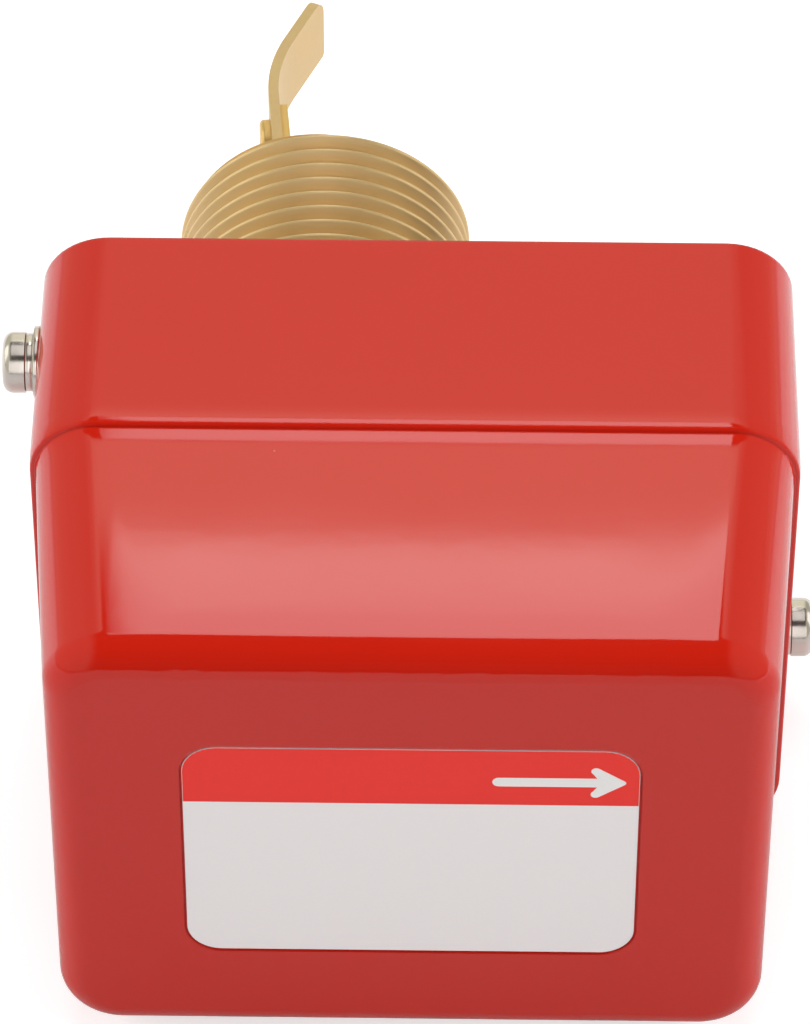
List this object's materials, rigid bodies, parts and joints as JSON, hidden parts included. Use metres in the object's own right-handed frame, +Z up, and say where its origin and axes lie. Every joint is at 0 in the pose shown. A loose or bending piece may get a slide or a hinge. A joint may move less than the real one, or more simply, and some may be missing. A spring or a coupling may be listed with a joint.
{
  "type": "paddle flow switch",
  "caption": "Paddle flow switch: red box cover over a microswitch worked by a bellows-sealed lever, a brass pipe thread and a brass paddle leaf.",
  "frame": {"origin": "centre of the pipe thread's shoulder, where the thread meets the hexagon, on the thread's axis", "axes": "+X along the flow direction, +Y along the thread's axis towards the paddle, +Z up with the switch lying on its flat back wall"},
  "size_m": [0.0884, 0.13, 0.0618],
  "materials": {
    "red_paint": "gloss",
    "label_print": "satin",
    "zinc_steel": "satin",
    "nickel_steel": "bright",
    "brass": "machined",
    "bronze": "satin",
    "rubber_black": "matte",
    "phenolic": "moulded",
    "fish_paper": "matte",
    "plunger_plastic": "moulded",
    "spring_steel": "bright"
  },
  "bodies": {
    "housing": {"cover": "red_paint", "label": "label_print", "base_pan": "zinc_steel", "weld_nuts": "zinc_steel", "cover_screws": "nickel_steel", "cover_lock_washers": "nickel_steel", "cover_flat_washers": "nickel_steel", "cable_grommet": "rubber_black", "earth_washer": "brass", "earth_screw": "brass", "pipe_fitting": "brass", "fixing_screws": "zinc_steel", "bracket": "zinc_steel", "pivot_pins": "nickel_steel", "bellows": "bronze", "range_spring": "spring_steel", "switch_case": "phenolic", "switch_lid": "phenolic", "switch_bush": "nickel_steel", "switch_insulator": "fish_paper", "switch_screws": "zinc_steel", "switch_terminals": "brass", "terminal_screws": "nickel_steel"},
    "paddle_arm": {"rocker": "zinc_steel", "bellows_cap": "brass", "lever": "brass", "lever_nut": "brass", "paddle": "brass", "paddle_screws": "brass"},
    "switch_plunger": {"switch_plunger": "plunger_plastic"},
    "range_screw": {"range_screw": "zinc_steel", "range_clip": "spring_steel"},
    "range_nut": {"range_nut": "brass"}
  },
  "joints": [
    {"name": "paddle_swing", "type": "hinge", "parent": "housing", "child": "paddle_arm", "pos_m": [0, -0.0205, 0], "axis": [0, 0, -1], "range_deg": [0, 4.5], "stiffness_Nm_per_rad": 0.3, "springref_deg": -3.44, "deforming": ["bellows", "range_spring"]},
    {"name": "plunger_press", "type": "slide", "parent": "housing", "child": "switch_plunger", "axis": [0, -1, 0], "range_m": [0, 0.0018]},
    {"name": "range_turn", "type": "hinge", "parent": "housing", "child": "range_screw", "pos_m": [-0.022, -0.051, -0.0053], "axis": [1, 0, 0], "range_deg": [-800, 800]},
    {"name": "range_nut_travel", "type": "slide", "parent": "housing", "child": "range_nut", "axis": [1, 0, 0], "range_m": [-0.0014, 0.0014], "deforming": ["range_spring"]}
  ],
  "couplings": [
    {"joint": "plunger_press", "follows": "paddle_swing", "m_per_rad": 0.02},
    {"joint": "range_turn", "follows": "range_nut_travel", "rad_per_m": 8976}
  ]
}
